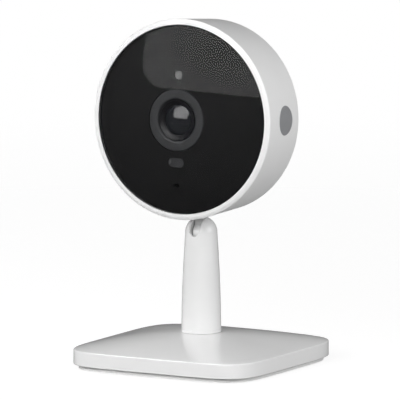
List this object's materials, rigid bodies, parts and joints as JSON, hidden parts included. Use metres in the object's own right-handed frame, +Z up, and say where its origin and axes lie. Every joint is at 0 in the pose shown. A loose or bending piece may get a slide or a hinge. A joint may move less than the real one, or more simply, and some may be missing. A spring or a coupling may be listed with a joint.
{
  "type": "security camera",
  "caption": "Small indoor security camera: a round dark-windowed head tilts on a hinge above a turning round stem and a low weighted square base.",
  "frame": {"origin": "centre of the underside, on the surface that the camera stands on", "axes": "+Z up, the camera looks along -Y, +X is to the right as the front is seen"},
  "size_m": [0.0646, 0.0646, 0.1091],
  "materials": {
    "housing_gloss": "white moulded ABS with a glossy surface",
    "housing_satin": "white moulded ABS with a fine satin surface",
    "plinth_plastic": "light grey moulded ABS, matt",
    "pad_rubber": "dark silicone rubber, matt",
    "weight_steel": "plain zinc plated steel plate",
    "fastener_steel": "plated steel, as machined",
    "acetal": "natural acetal, slightly waxy",
    "tinted_window": "smoked acrylic, polished",
    "adhesive_foam": "closed cell foam tape",
    "mask_plastic": "black polycarbonate, matt",
    "ring_plastic": "dark grey polycarbonate, satin",
    "barrel_black": "black glass filled nylon, matt",
    "optical_glass": "coated optical glass",
    "filter_glass": "coated filter glass with a blue green tint",
    "silicon": "sensor package with a bare silicon face",
    "circuit_board": "fibreglass board with green solder mask",
    "led_resin": "clear and pale resin",
    "smoked_window": "smoked polycarbonate light guide",
    "contact_brass": "brass, bright",
    "frame_plastic": "grey polycarbonate, matt",
    "spreader_aluminium": "stamped aluminium sheet",
    "chip_epoxy": "black moulded epoxy",
    "tinned_steel": "tin plated steel sheet",
    "speaker_black": "black cone and basket",
    "button_plastic": "mid grey moulded ABS, matt",
    "badge_grey": "plain grey disc, satin"
  },
  "bodies": {
    "base": {"base_cover": "housing_gloss", "base_weight": "weight_steel", "base_plate": "plinth_plastic", "base_pad": "pad_rubber", "base_screws": "fastener_steel", "swivel_bush": "acetal", "wave_washer": "fastener_steel"},
    "stem": {"stem_tube": "housing_gloss", "stem_collar": "housing_gloss", "swivel_spigot": "fastener_steel", "retaining_washer": "fastener_steel", "swivel_screw": "fastener_steel", "hinge_pin": "fastener_steel", "pin_plug": "housing_gloss", "friction_washers": "fastener_steel"},
    "head": {"neck_tongue": "housing_gloss", "neck_screws": "fastener_steel", "head_shell": "housing_satin", "rear_cover": "housing_satin", "front_window": "tinted_window", "window_tape": "adhesive_foam", "front_mask": "mask_plastic", "lens_ring": "ring_plastic", "lens_barrel": "barrel_black", "front_lens": "optical_glass", "middle_lens": "optical_glass", "rear_lens": "optical_glass", "lens_holder": "barrel_black", "ir_filter": "filter_glass", "image_sensor": "silicon", "sensor_board": "circuit_board", "front_board": "circuit_board", "night_light": "led_resin", "sensor_window": "smoked_window", "light_sensor": "led_resin", "status_light": "led_resin", "microphone": "contact_brass", "microphone_boot": "pad_rubber", "inner_frame": "frame_plastic", "heat_spreader": "spreader_aluminium", "board_spacers": "contact_brass", "main_board": "circuit_board", "processor": "chip_epoxy", "memory_chip": "chip_epoxy", "shield_can": "tinned_steel", "wifi_antenna": "contact_brass", "speaker": "speaker_black", "speaker_gasket": "adhesive_foam", "power_socket": "tinned_steel", "reset_switch": "tinned_steel", "board_screws": "fastener_steel", "badge": "badge_grey"},
    "button": {"reset_button": "button_plastic"}
  },
  "joints": [
    {"name": "pan_swivel", "type": "hinge", "parent": "base", "child": "stem", "pos_m": [0, 0, 0.0103], "axis": [0, 0, 1], "continuous": true},
    {"name": "head_tilt", "type": "hinge", "parent": "stem", "child": "head", "pos_m": [0, 0, 0.0414], "axis": [1, 0, 0], "range_deg": [-55, 60]},
    {"name": "reset_press", "type": "slide", "parent": "head", "child": "button", "axis": [0, -0.9984, 0.0558], "range_m": [0, 0.0006], "stiffness_N_per_m": 1500}
  ]
}
